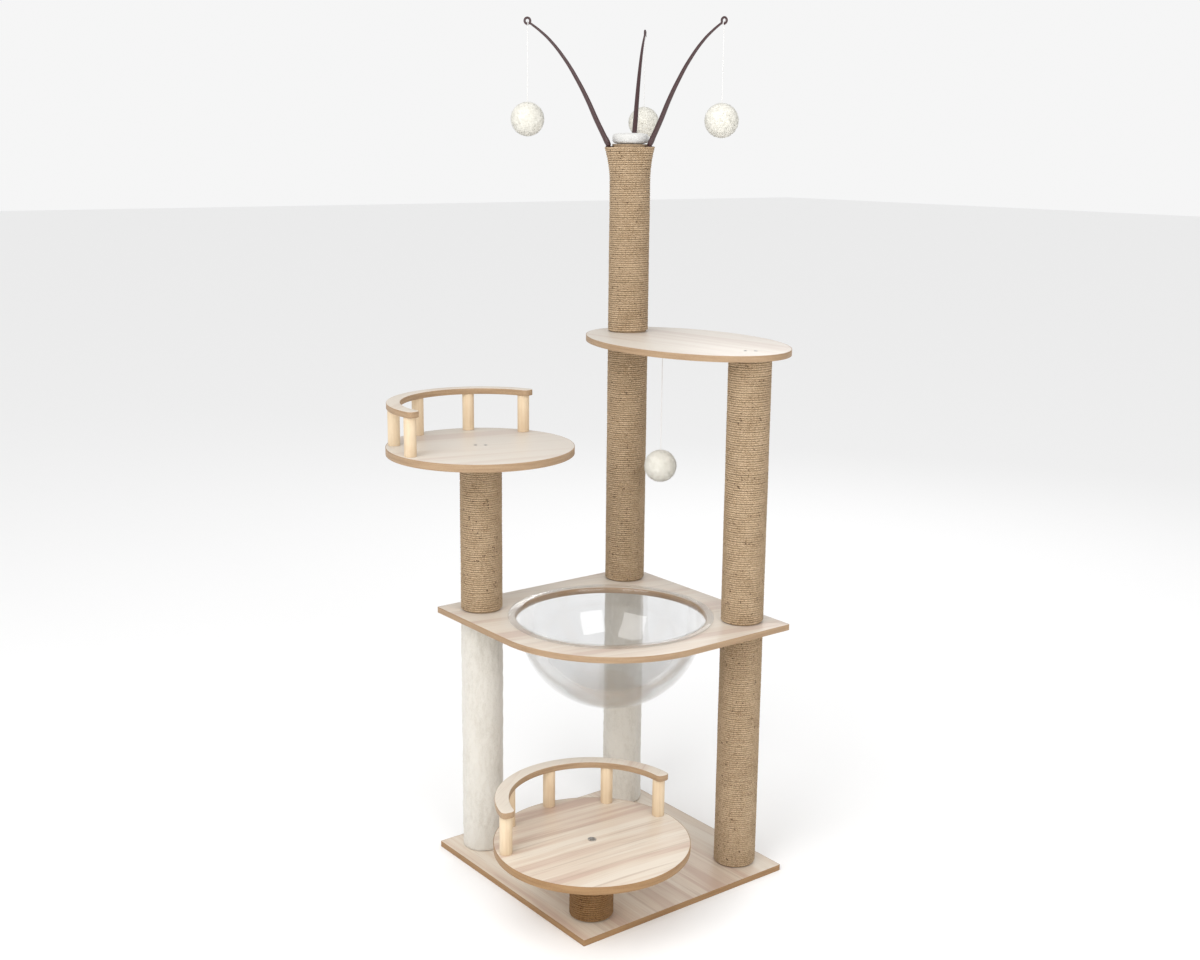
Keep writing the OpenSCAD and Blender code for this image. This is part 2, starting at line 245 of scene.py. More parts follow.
def markSharp(piece, angle=0.6):
    # keeps flat faces flat where the edges are crisp
    bm = bmesh.new()
    bm.from_mesh(piece.data)
    for e in sharpEdges(bm, angle):
        e.smooth = False
    bm.to_mesh(piece.data)
    bm.free()


def bakeModifiers(piece):
    # the mesh that a piece has once its modifiers are in place
    done = piece.evaluated_get(bpy.context.evaluated_depsgraph_get())
    return bpy.data.meshes.new_from_object(done)


def applyModifiers(piece):
    done = bakeModifiers(piece)
    piece.modifiers.clear()
    piece.data = done


def middle(node):
    low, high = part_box(node)
    return (low + high) / 2


def dress(material, *names):
    # gives a CAD node its finish
    for name in names:
        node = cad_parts[name]
        if not node.material_slots:
            node.data.materials.append(material)
        node.material_slots[0].material = material


laminateLook = {
    "cream": (0.715, 0.635, 0.535),
    "middle": (0.66, 0.555, 0.45),
    "streak": (0.56, 0.42, 0.335),
    "line": (0.40, 0.29, 0.22),
    "grey": (0.66, 0.625, 0.58),
    # each layer of grain: how it is squeezed along, across and down, its detail and roughness
    "broad": ((1.1, 17, 6), 2.0, 0.5),
    "bands": ((1.7, 52, 20), 3.0, 0.6),
    "lines": ((4.5, 300, 120), 2.0, 0.6),
    "pores": ((9, 640, 400), 1.0, 0.5),
    "veins": ((2.2, 95, 30), 1.0, 0.5),
    "shares": (0.75, 0.45, 0.12),  # of broad, bands and lines in the streaks
    "streakShift": -0.06,
    "poreDepth": 0.35,
    "veinDepth": 0.30,
}


def laminate(name, grainTurn, shift=0.0, streaks=1.0, fade=0.0):
    # pale ash-like laminate: broad pinkish streaks, finer bands and short dark pores along the grain
    material, shader = newMaterial(name, roughness=0.38, specular=0.45)
    along = put(material, "Mapping", {
        "Vector": ownPlace(material), "Rotation": (0, 0, -math.radians(grainTurn)),
        "Location": (shift, shift * 0.7, 0)}).outputs[0]
    wander = put(material, "TexNoise", {"Vector": along, "Scale": 2.2, "Detail": 1.0}).outputs["Color"]
    wavy = put(material, "VectorMath", {0: wander, 1: (0.0, 0.022, 0.0)}, operation="MULTIPLY").outputs[0]
    bent = put(material, "VectorMath", {0: along, 1: wavy}, operation="ADD").outputs[0]

    def layer(kind):
        squeeze, detail, rough = laminateLook[kind]
        return grainAt(material, bent, 1.0, detail, rough, squeeze)

    def marks(kind, wide, depth, colour):
        # short dark marks where a layer of grain is lowest
        drawn = ramp(material, layer(kind), [(0.30, (1, 1, 1)), (0.30 + wide, (0, 0, 0))])
        return blendColour(material, sums(material, "MULTIPLY", drawn, depth), colour, laminateLook["line"])

    broadShare, bandShare, lineShare = laminateLook["shares"]
    lines = layer("lines")
    mixed = sums(material, "MULTIPLY", layer("broad"), broadShare)
    mixed = sums(material, "MULTIPLY_ADD", layer("bands"), bandShare, mixed)
    mixed = sums(material, "MULTIPLY_ADD", lines, lineShare, mixed)
    mixed = sums(material, "ADD", mixed, laminateLook["streakShift"] * streaks)
    colour = ramp(material, mixed, [
        (0.50, laminateLook["streak"]), (0.575, laminateLook["middle"]),
        (0.60, laminateLook["middle"]), (0.66, laminateLook["cream"])])
    colour = marks("pores", 0.08, laminateLook["poreDepth"], colour)
    colour = marks("veins", 0.06, laminateLook["veinDepth"] * streaks, colour)
    setColour(material, shader, blendColour(material, fade, colour, laminateLook["grey"]))
    setBump(material, shader, lines, 0.12, 0.0004)
    return material


bandLook = {"light": (0.43, 0.295, 0.18), "dark": (0.34, 0.22, 0.127)}


def edgeBanding(name, tint=(1, 1, 1)):
    material, shader = newMaterial(name, roughness=0.5, specular=0.3)
    place = ownPlace(material)
    grain = grainAt(material, place, 1.0, 3.0, squeeze=(14, 14, 260))
    both = sums(material, "MULTIPLY_ADD", grainAt(material, place, 420.0), 0.3,
                sums(material, "MULTIPLY", grain, 0.7))
    colour = ramp(material, both, [(0.35, bandLook["dark"]), (0.6, bandLook["light"])])
    setColour(material, shader, blendColour(material, 1.0, colour, tint, "MULTIPLY"))
    setBump(material, shader, both, 0.15, 0.0004)
    return material


turnedLook = {"light": (0.76, 0.61, 0.425), "dark": (0.66, 0.50, 0.33)}


def turnedWood(name):
    material, shader = newMaterial(name, roughness=0.48, specular=0.35)
    place = ownPlace(material)
    grain = grainAt(material, place, 1.0, 4.0, 0.6, squeeze=(190, 190, 9))
    both = sums(material, "MULTIPLY_ADD", grainAt(material, place, 26.0, 1.0), 0.35,
                sums(material, "MULTIPLY", grain, 0.65))
    colour = ramp(material, both, [(0.34, turnedLook["dark"]), (0.55, turnedLook["light"])])
    setColour(material, shader, colour)
    setBump(material, shader, grain, 0.2, 0.0003)
    return material


ropeLook = {
    "light": (0.70, 0.53, 0.355),
    "middle": (0.45, 0.31, 0.18),
    "dark": (0.17, 0.10, 0.047),
    "speck": (0.08, 0.04, 0.018),
    "lay": 0.0085,  # length of one full twist
    "strands": 3,
    "shares": (0.20, 0.42, 0.14, 0.52),  # of strand, fibre, patch and grain in the shade
    "specks": (150.0, 0.28, 0.6, 0.75),  # scale, size, how rare, how strong
}


def juteRope(name, tint=(1, 1, 1)):
    # reads how far along the rope and how far round it each point is
    material, shader = newMaterial(name, roughness=0.88, specular=0.12, sheen=0.05, sheenRoughness=0.5)
    run = put(material, "Attribute", attribute_name="ropeRun").outputs["Fac"]
    around = put(material, "Attribute", attribute_name="ropeRound").outputs["Fac"]
    place = ownPlace(material)
    twist = sums(material, "MULTIPLY_ADD", around, float(ropeLook["strands"]),
                 sums(material, "DIVIDE", run, ropeLook["lay"] / ropeLook["strands"]))
    wave = sums(material, "SINE", sums(material, "MULTIPLY", twist, 2 * math.pi))
    strand = sums(material, "MULTIPLY_ADD", wave, 0.5, 0.5)
    fibrePlace = put(material, "CombineXYZ", {
        "X": sums(material, "MULTIPLY", run, 140.0), "Y": sums(material, "MULTIPLY", twist, 5.0)}).outputs[0]
    fibre = grainAt(material, fibrePlace, 1.0, 3.0, 0.6)
    patch = grainAt(material, place, 34.0, 3.0)
    grain = grainAt(material, place, 430.0, 2.0, 0.6)
    first, *others = zip((strand, fibre, patch, grain), ropeLook["shares"])
    shade = sums(material, "MULTIPLY", *first)
    for layer, share in others:
        shade = sums(material, "MULTIPLY_ADD", layer, share, shade)
    colour = ramp(material, shade, [
        (0.46, ropeLook["dark"]), (0.60, ropeLook["middle"]), (0.73, ropeLook["light"])])
    scale, size, rarity, strength = ropeLook["specks"]
    dots = put(material, "TexVoronoi", {"Vector": place, "Scale": scale, "Randomness": 1.0})
    speck = sums(material, "MULTIPLY", sums(material, "LESS_THAN", dots.outputs["Distance"], size),
                 sums(material, "GREATER_THAN", grainAt(material, place, 70.0), rarity))
    colour = blendColour(material, sums(material, "MULTIPLY", speck, strength), colour, ropeLook["speck"])
    setColour(material, shader, blendColour(material, 1.0, colour, tint, "MULTIPLY"))
    relief = sums(material, "MULTIPLY_ADD", fibre, 0.5, strand)
    relief = sums(material, "MULTIPLY_ADD", grain, 1.1, relief)
    setBump(material, shader, relief, 0.9, 0.0008)
    return material


plushLook = {  # each pile's lit and shaded colours
    "post": ((0.69, 0.66, 0.60), (0.56, 0.525, 0.46)),
    "pompom": ((0.82, 0.80, 0.73), (0.75, 0.73, 0.655)),
    "pad": ((0.69, 0.685, 0.665), (0.60, 0.59, 0.565)),
}


def plushPile(name, kind, clump=150.0, tall=0.45, sheen=0.35):
    light, shade = plushLook[kind]
    material, shader = newMaterial(name, roughness=0.95, specular=0.1, sheen=sheen, sheenRoughness=0.5)
    place = ownPlace(material)

    def layer(scale, detail):
        return grainAt(material, place, 1.0, detail, 0.6, squeeze=(scale, scale, scale * tall))

    tufts, fine, wide = layer(clump, 3.0), layer(clump * 6, 2.0), layer(clump / 7, 2.0)
    both = sums(material, "MULTIPLY_ADD", fine, 0.35, sums(material, "MULTIPLY", tufts, 0.30))
    both = sums(material, "MULTIPLY_ADD", wide, 0.35, both)
    setColour(material, shader, ramp(material, both, [(0.36, shade), (0.54, light)]))
    setBump(material, shader, both, 0.45, 0.0012)
    return material


def speckled(material, shader, scale, detail, stops, strength, distance):
    # a fine two-tone grain, raised a little
    grain = grainAt(material, ownPlace(material), scale, detail)
    setColour(material, shader, ramp(material, grain, stops))
    setBump(material, shader, grain, strength, distance)
    return material


def plainPlastic(name, colour, roughness, coat=0.0):
    material, shader = newMaterial(name, roughness=roughness, coat=coat, coatRoughness=0.15)
    lighter = tuple(min(1, c * 1.25 + 0.004) for c in colour)
    return speckled(material, shader, 260.0, 3.0, [(0.4, colour), (0.75, lighter)], 0.08, 0.0003)


def zincSteel(name):
    material, shader = newMaterial(name, roughness=0.35, metallic=1.0)
    stops = [(0.35, (0.42, 0.41, 0.40)), (0.7, (0.66, 0.65, 0.63))]
    return speckled(material, shader, 380.0, 3.0, stops, 0.1, 0.0002)


def cardboard(name):
    material, shader = newMaterial(name, roughness=0.85, specular=0.2)
    stops = [(0.35, (0.30, 0.21, 0.13)), (0.7, (0.46, 0.34, 0.22))]
    return speckled(material, shader, 300.0, 4.0, stops, 0.3, 0.0004)


acrylicLook = {
    # painted shade: the foot's darker tint makes the bowl darker towards the bottom
    "foot": (0.33, 0.32, 0.30),
    "side": (0.52, 0.525, 0.53),
    "rim": (0.97, 0.965, 0.95),
    # heights where the foot's tint ends, the side's starts and ends, and the rim's starts
    "heights": (0.34, 0.44, 0.518, 0.5235),
    "alpha": 0.35,
    "coatIor": 1.95,
}


def clearAcrylic(name):
    # thin enough that light also goes straight through it
    material, shader = newMaterial(
        name, roughness=0.02, transmission=1.0, ior=1.2, alpha=acrylicLook["alpha"],
        coat=1.0, coatRoughness=0.02, coatIor=acrylicLook["coatIor"])
    place = ownPlace(material)
    height = put(material, "SeparateXYZ", {0: place}).outputs[2]
    # the smoky tint, with painted shade darkening it towards the foot
    tints = [acrylicLook[part] for part in ("foot", "side", "side", "rim")]
    smokeAndPaintedShade = ramp(material, height, list(zip(acrylicLook["heights"], tints)))
    streaky = ramp(material, grainAt(material, place, 12.0), [(0.42, (0.86, 0.86, 0.86)), (0.60, (1, 1, 1))])
    setColour(material, shader, blendColour(material, 1.0, smokeAndPaintedShade, streaky, "MULTIPLY"))
    setBump(material, shader, grainAt(material, place, 7.0, 1.0), 0.05, 0.0015)
    return material


def twistedThread(name):
    material, shader = newMaterial(name, roughness=0.85, sheen=0.2)
    turns = put(material, "TexWave", {"Vector": ownPlace(material), "Scale": 260.0, "Distortion": 0.5},
                wave_type="BANDS", bands_direction="DIAGONAL").outputs["Fac"]
    setColour(material, shader, ramp(material, turns, [(0.1, (0.76, 0.75, 0.73)), (0.7, (0.86, 0.85, 0.84))]))
    setBump(material, shader, turns, 0.6, 0.0003)
    return material


makeCamera()
makeStudio()
print("camera, floor and lights are set")

streakedBoard = laminate("streakedBoard", 90)
seatLaminate = laminate("seatLaminate", -5, shift=0.37, streaks=1.3)
highSeatLaminate = laminate("highSeatLaminate", -14, shift=0.91, streaks=0.5, fade=0.5)
shelfLaminate = laminate("shelfLaminate", -12, shift=1.43, fade=0.3)
perchLaminate = laminate("perchLaminate", 96, shift=2.1, fade=0.5)
railLaminate = laminate("railLaminate", 35, shift=3.3, streaks=-0.4, fade=0.15)
tanBanding = edgeBanding("tanBanding")
# painted shade: the base and low seat bands are a darker copy of the tan banding, darker where less light
# reaches them
paintedShadeBanding = edgeBanding("paintedShadeBanding", (0.84, 0.73, 0.56))
paleBeech = turnedWood("paleBeech")
jute = juteRope("jute")
# painted shade: the front rope under the low seat gets a darker copy of the jute
paintedShadeJute = juteRope("paintedShadeJute", (0.60, 0.46, 0.31))
whitePlush = plushPile("whitePlush", "post", sheen=0.5)
pompomPile = plushPile("pompomPile", "pompom", clump=90.0, tall=1.0, sheen=0.2)
padPlush = plushPile("padPlush", "pad", clump=260.0, tall=1.0)
darkWand = plainPlastic("darkWand", (0.050, 0.020, 0.021), 0.35, coat=0.3)
blackPlastic = plainPlastic("blackPlastic", (0.02, 0.02, 0.02), 0.5)
zinc = zincSteel("zinc")
tubeCard = cardboard("tubeCard")
acrylic = clearAcrylic("acrylic")
thread = twistedThread("thread")


pompomLook = {
    "strands": 7200,
    "batch": 60,
    "strandLength": 0.0050,
    "strandWidth": 0.00115,
    "lengths": (0.8, 1.15),  # shortest and longest strand, as a part of strandLength
    "buried": 1.05,  # how deep its foot is, as a part of strandLength
    "core": 0.94,  # part of the radius
    "lumps": 0.0012,
    "lumpScales": (5, 14),
    "lean": 0.5,
    "turnOn": 1.3,  # radians that each pompom is turned on from the last
    "seed": 11,
}


def pompomShape():
    # a lumpy ball with short fibres all over it, made once about the origin
    random.seed(pompomLook["seed"])
    low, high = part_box("left_pompom")
    radius = (high.z - low.z) / 2
    coarse, fine = pompomLook["lumpScales"]
    ball = bmesh.new()
    bmesh.ops.create_icosphere(ball, subdivisions=5, radius=radius * pompomLook["core"])
    for v in ball.verts:
        way = v.co.normalized()
        v.co += way * pompomLook["lumps"] * (noise.noise(way * coarse) + 0.7 * noise.noise(way * fine))
    count = pompomLook["strands"]
    golden = math.pi * (3 - math.sqrt(5))
    tuft = bpy.data.meshes.new("tuft")
    for first in range(0, count, pompomLook["batch"]):
        bm = bmesh.new()
        for k in range(first, first + pompomLook["batch"]):
            up = 1 - 2 * (k + 0.5) / count
            ringed = math.sqrt(1 - up * up)
            way = Vector((ringed * math.cos(golden * k), ringed * math.sin(golden * k), up))
            lean = Vector([random.uniform(-1, 1) for axis in range(3)])
            tip = (way + lean * pompomLook["lean"]).normalized()
            length = pompomLook["strandLength"] * random.uniform(*pompomLook["lengths"])
            foot = way * (radius - pompomLook["strandLength"] * pompomLook["buried"])
            turned = tip.to_track_quat("Z", "Y").to_matrix().to_4x4()
            bmesh.ops.create_cone(bm, cap_ends=True, segments=3, radius1=pompomLook["strandWidth"], radius2=0,
                                  depth=length, matrix=Matrix.Translation(foot + tip * length / 2) @ turned)
        bm.to_mesh(tuft)
        bm.free()
        ball.from_mesh(tuft)
    bpy.data.meshes.remove(tuft)
    return asMesh("pompomShape", ball)


stringLook = {"diameter": 0.0016, "points": 16}


def hangString(side):
    low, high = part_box(side + "_string")
    at = (low + high) / 2
    curve = bpy.data.curves.new(side + "String", "CURVE")
    curve.dimensions = "3D"
    curve.bevel_depth = stringLook["diameter"] / 2
    curve.bevel_resolution = 3
    curve.use_fill_caps = True
    line = curve.splines.new("POLY")
    line.points.add(stringLook["points"] - 1)
    for k, point in enumerate(line.points):
        part = k / (stringLook["points"] - 1)
        point.co = (at.x, at.y, high.z + (low.z - high.z) * part, 1)
    curve.materials.append(thread)
    string = addObject(side + "String", curve)
    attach(string, side + "_pompom")
    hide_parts(side + "_string")
    return string, (at.x, at.y, high.z), high.z - low.z


def makePompoms():
    shape = pompomShape()
    for turn, side in enumerate(("left", "right", "back", "perch")):
        string, top, length = hangString(side)
        mesh = shape.copy()
        mesh.name = side + "Pompom"
        turned = Matrix.Rotation(turn * pompomLook["turnOn"], 4, "X")
        mesh.transform(Matrix.Translation(middle(side + "_pompom")) @ turned)
        pompom = finishPiece(side + "Pompom", mesh, side + "_pompom", pompomPile, side + "_pompom")
    bpy.data.meshes.remove(shape)
    dress(thread, "left_loop", "right_loop", "back_loop", "perch_loop")
    print("strings and pompoms hang")


makePompoms()


boardLook = {
    "boardSoft": 0.0002,  # rounding of a board's top and bottom edges
    "bandSoft": 0.000405,
    "bandSharp": 1.2,  # radians between faces, past which a band's edge is crisp
    "corner": 0.002,
    "cornerPoints": 5,
    "band": 0.001,  # thickness of the edge band
    "arcPoints": 48,
    "roundPoints": 144,
}


def arc(centre, radius, start, end, steps):
    # points round an arc, angles in degrees
    spans = [math.radians(start + (end - start) * k / steps) for k in range(steps + 1)]
    return [(centre[0] + radius * math.cos(a), centre[1] + radius * math.sin(a)) for a in spans]


def plate(outer, low, high, soft, holes=()):
    # a flat board: its outline is filled round its holes, raised and softened
    bm = bmesh.new()
    edges = []
    for loop in (outer, *holes):
        verts = [bm.verts.new((x, y, low)) for x, y in loop]
        edges += [bm.edges.new(pair) for pair in zip(verts, verts[1:] + verts[:1])]
    bmesh.ops.triangle_fill(bm, edges=edges, use_beauty=True)
    raised = bmesh.ops.extrude_face_region(bm, geom=bm.faces[:])
    bmesh.ops.translate(bm, verts=vertsOf(raised["geom"]), vec=(0, 0, high - low))
    bmesh.ops.recalc_face_normals(bm, faces=bm.faces)
    soften(bm, soft)
    return bm


def squareOutline(half, bowed=None):
    # a square with small round corners; its bowed one is a quarter circle round the bowl
    r = boardLook["corner"]
    corners = []
    for k, (x, y) in enumerate(((1, 1), (-1, 1), (-1, -1), (1, -1))):
        if (x, y) == bowed:
            corners += arc((0, 0), half, 90 * k, 90 * k + 90, boardLook["arcPoints"])
        else:
            centre = (x * (half - r), y * (half - r))
            corners += arc(centre, r, 90 * k, 90 * k + 90, boardLook["cornerPoints"])
    return corners


def shelfOutline(half):
    return squareOutline(half, bowed=(-1, -1))


def roundOutline(centre, wide, long):
    count = boardLook["roundPoints"]
    turns = [2 * math.pi * k / count for k in range(count)]
    return [(centre[0] + wide * math.cos(a), centre[1] + long * math.sin(a)) for a in turns]


def makeBand(name, node, outer, inner, heights, material):
    strip = plate(outer, *heights, boardLook["bandSoft"], [inner])
    markSharp(finishPiece(name, strip, "stand", material, node), boardLook["bandSharp"])


def banded(name, board, band, outline, grow, material, edge, holes=()):
    # a board and the band glued round its edge; outline(grow) is the outer line
    low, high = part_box(board)
    inner = outline(grow - boardLook["band"])
    shape = plate(inner, low.z, high.z, boardLook["boardSoft"], holes)
    markSharp(finishPiece(name + "Board", shape, "stand", material, board))
    makeBand(name + "Band", band, outline(grow), inner, (low.z, high.z), edge)


def makeBoards():
    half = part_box("base_edge_band")[1].x
    banded("base", "base_board", "base_edge_band", squareOutline, half, streakedBoard, paintedShadeBanding)
    low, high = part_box("bowl_hole_band")
    hole = roundOutline((0, 0), high.x, high.x)
    inside = high.x - boardLook["band"]
    banded("shelf", "shelf_board", "shelf_edge_band", shelfOutline, half, shelfLaminate, tanBanding, [hole])
    makeBand("holeBand", "bowl_hole_band", hole, roundOutline((0, 0), inside, inside),
             (low.z, high.z), tanBanding)
    centre = middle("perch_edge_band")
    low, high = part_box("perch_edge_band")
    wide, long = (high.x - low.x) / 2, (high.y - low.y) / 2

    def perchOutline(reach):
        return roundOutline(centre, reach, long + reach - wide)

    banded("perch", "perch_board", "perch_edge_band", perchOutline, wide, perchLaminate, tanBanding)
    for seat, material, edge in (("high", highSeatLaminate, tanBanding), ("low", seatLaminate, paintedShadeBanding)):
        at = middle(seat + "_seat_band")
        low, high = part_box(seat + "_seat_band")
        banded(seat + "Seat", seat + "_seat_board", seat + "_seat_band",
               lambda radius, at=at: roundOutline(at, radius, radius), (high.y - low.y) / 2, material, edge)
    print("boards and edge bands are cut")


makeBoards()


railLook = {
    "circle": 0.169,  # radius of the circle that the spindles stand on
    "width": 0.027,
    "halfSpan": 86,
    "turns": {"low": 83.0, "high": 105.5},  # where each rail's middle faces, in degrees
    "step": 40,
    "soft": 0.0013,
    "corner": 0.010,
    "endSpan": 4.5,  # degrees of rail kept in one piece at each end, for its corners to be rounded in
    "steps": 96,
    "flat": 0.8,  # how far up or down a rail's face must look to be laminate
    "spindleRadius": 0.012,
    "spindleSoft": 0.0007,
}


def makeRail(seat):
    centre = middle(seat + "_seat_band")
    low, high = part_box(seat + "_rail")
    turn = railLook["turns"][seat]
    bm = bmesh.new()
    inner = railLook["circle"] - railLook["width"] / 2
    outer = inner + railLook["width"]
    face = bm.faces.new([bm.verts.new((x, 0, z)) for x, z in (
        (inner, low.z), (outer, low.z), (outer, high.z), (inner, high.z))])
    start = Matrix.Rotation(math.radians(turn - railLook["halfSpan"]), 4, "Z")
    bmesh.ops.transform(bm, matrix=start, verts=bm.verts)
    last = [face, *face.edges, *face.verts]
    end = railLook["endSpan"]
    for span, steps in ((end, 1), (2 * (railLook["halfSpan"] - end), railLook["steps"]), (end, 1)):
        last = bmesh.ops.spin(bm, geom=last, cent=(0, 0, 0), axis=(0, 0, 1), dvec=(0, 0, 0),
                              angle=math.radians(span), steps=steps, use_merge=False)["geom_last"]
    bmesh.ops.recalc_face_normals(bm, faces=bm.faces)
    upright = (high.z - low.z) / 2  # the edges at the ends rise more than this
    corners = [e for e in sharpEdges(bm) if abs(e.verts[0].co.z - e.verts[1].co.z) > upright]
    bmesh.ops.bevel(bm, geom=corners, offset=railLook["corner"], segments=6, profile=0.5, affect="EDGES",
                    material=-1, clamp_overlap=True)
    soften(bm, railLook["soft"])
    bmesh.ops.dissolve_degenerate(bm, edges=bm.edges, dist=weld)
    bmesh.ops.translate(bm, verts=bm.verts, vec=(centre.x, centre.y, 0))
    rail = finishPiece(seat + "Rail", bm, "stand", railLaminate, seat + "_rail")
    rail.data.materials.append(tanBanding)
    for face in rail.data.polygons:  # the sides are banded, the top and underside are laminate
        face.material_index = 0 if abs(face.normal.z) > railLook["flat"] else 1
    markSharp(rail)


def makeSpindles(seat):
    centre = middle(seat + "_seat_band")
    low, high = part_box(seat + "_spindles")
    radius = railLook["spindleRadius"]
    bm = bmesh.new()
    for k in range(-2, 3):  # two on each side of the middle one
        a = math.radians(railLook["turns"][seat] + k * railLook["step"])
        at = Vector((centre.x + railLook["circle"] * math.cos(a), centre.y + railLook["circle"] * math.sin(a),
                     (low.z + high.z) / 2))
        bmesh.ops.create_cone(bm, cap_ends=True, segments=40, radius1=radius, radius2=radius,
                              depth=high.z - low.z, matrix=Matrix.Translation(at))
    soften(bm, railLook["spindleSoft"], 2)
    markSharp(finishPiece(seat + "Spindles", bm, "stand", paleBeech, seat + "_spindles"))


for seat in ("low", "high"):
    makeRail(seat)
    makeSpindles(seat)
print("rails and spindles stand")


ropeWrap = {
    "pitch": 0.0044,
    "facets": 8,  # sides of the rope itself
    "around": 64,  # steps in one turn round a post
    "overlap": 1.08,
    "wobble": 0.00020,
    "flareHeight": 0.070,
    "flare": 0.014,
    "flareRise": 1.7,  # how late in its height the spread comes
    "lobeTurn": 164,  # degrees, where one of the three lobes faces
    "lobeShare": 0.75,  # part of the spread that is in the lobes only
    "lobePinch": 1.3,  # how narrow the lobes are
    # unevenness along the rope, as waves in radians per metre; the rises also say how strong each is
    "lumps": (410, 173, 71),
    "drifts": (9.7, 23.1),
    "rises": ((31, 1.2), (12.7, 0.9)),
}


def flareOut(angle, height):
    # how far the top stretch of rope spreads over the wand sockets
    lobe = ((1 + np.cos(3 * (angle - math.radians(ropeWrap["lobeTurn"])))) / 2) ** ropeWrap["lobePinch"]
    spread = 1 - ropeWrap["lobeShare"] + ropeWrap["lobeShare"] * lobe
    return ropeWrap["flare"] * height ** ropeWrap["flareRise"] * spread


def stackTurns(name, at, bottom, radius, pitch, thick, turns):
    # one turn of rope is spun, then stacked with its ends merged and capped
    steps = ropeWrap["around"]
    bm = bmesh.new()
    stand = Matrix.Rotation(math.pi / 2, 4, "X")
    start = Matrix.Translation((at.x + radius, at.y, bottom)) @ stand
    bmesh.ops.create_circle(bm, segments=ropeWrap["facets"], radius=thick / 2, matrix=start)
    bmesh.ops.spin(bm, geom=bm.verts[:] + bm.edges[:], cent=(at.x, at.y, 0), axis=(0, 0, 1),
                   dvec=(0, 0, pitch / steps), angle=2 * math.pi, steps=steps, use_merge=False)
    oneTurn = addObject(name, asMesh(name, bm))
    stack = oneTurn.modifiers.new("stack", "ARRAY")
    stack.use_relative_offset = False
    stack.use_constant_offset = True
    stack.constant_offset_displace = (0, 0, pitch)
    stack.count = turns
    stack.use_merge_vertices = True
    stack.merge_threshold = pitch / steps / 10
    mesh = bakeModifiers(oneTurn)
    bpy.data.objects.remove(oneTurn)
    bm = bmesh.new()
    bm.from_mesh(mesh)
    bmesh.ops.holes_fill(bm, edges=[e for e in bm.edges if e.is_boundary], sides=0)
    bmesh.ops.recalc_face_normals(bm, faces=bm.faces)
    bm.to_mesh(mesh)
    bm.free()
    return mesh


def windRope(name, node, seed, flared=False, finish=None):
    tube = "back_middle_rope" if flared else node  # the flared stretch is wound on the same tube
    at, wide = middle(tube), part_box(tube)
    low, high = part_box(node)
    outer = (wide[1].y - wide[0].y) / 2
    turns = round((high.z - low.z) / ropeWrap["pitch"]) - 1
    pitch = (high.z - low.z) / (turns + 1)
    thick = pitch * ropeWrap["overlap"]
    mesh = stackTurns(name, at, low.z + pitch / 2, outer - thick / 2, pitch, thick, turns)
    co = np.zeros(len(mesh.vertices) * 3)
    mesh.vertices.foreach_get("co", co)
    co = co.reshape(-1, 3)
    flat = co[:, :2] - np.array((at.x, at.y))
    angle = np.arctan2(flat[:, 1], flat[:, 0]) % (2 * math.pi)
    out = np.hypot(flat[:, 0], flat[:, 1])
    rise = co[:, 2] - low.z - pitch / 2
    turned = angle + 2 * math.pi * np.round(rise / pitch - angle / (2 * math.pi))
    across = out - (outer - thick / 2)
    upright = rise - pitch * turned / (2 * math.pi)
    run = turned * outer
    around = (np.arctan2(upright, across) / (2 * math.pi)) % 1.0
    around = np.where(around < 0.5, around + 0.5, around - 0.5)  # the join lies against the tube
    shift = np.random.default_rng(seed).uniform(0, 6.28, 6)
    lump = sum(np.sin(run * wave + shift[k]) for k, wave in enumerate(ropeWrap["lumps"])) / 3
    drift = sum(np.sin(run * wave + shift[k + 3]) for k, wave in enumerate(ropeWrap["drifts"])) / 2
    out += ropeWrap["wobble"] * (lump + drift)
    for (wave, much), start in zip(ropeWrap["rises"], (shift[5], shift[0])):
        co[:, 2] += ropeWrap["wobble"] * much * np.sin(run * wave + start)
    if flared:
        height = np.clip((co[:, 2] - (high.z - ropeWrap["flareHeight"])) / ropeWrap["flareHeight"], 0, 1)
        out += flareOut(angle, height)
    co[:, 0] = at.x + out * np.cos(angle)
    co[:, 1] = at.y + out * np.sin(angle)
    co[:, 2] = np.clip(co[:, 2], low.z, high.z)
    mesh.vertices.foreach_set("co", co.ravel())
    for label, values in (("ropeRun", run), ("ropeRound", around)):
        mesh.attributes.new(label, "FLOAT", "POINT").data.foreach_set("value", values.astype(np.float32))
    finishPiece(name, mesh, "stand", finish or jute, node)


plushWrap = {
    "cell": 0.0016,
    "tuft": 0.0011,
    "fine": 0.0006,
    "endRound": 0.006,
    "thick": 0.0044,
    "fall": 0.4,  # how much the pile is drawn out downwards, less is longer
    "scales": (130, 34, 560),  # of the tufts, their clumps and the fine pile
}


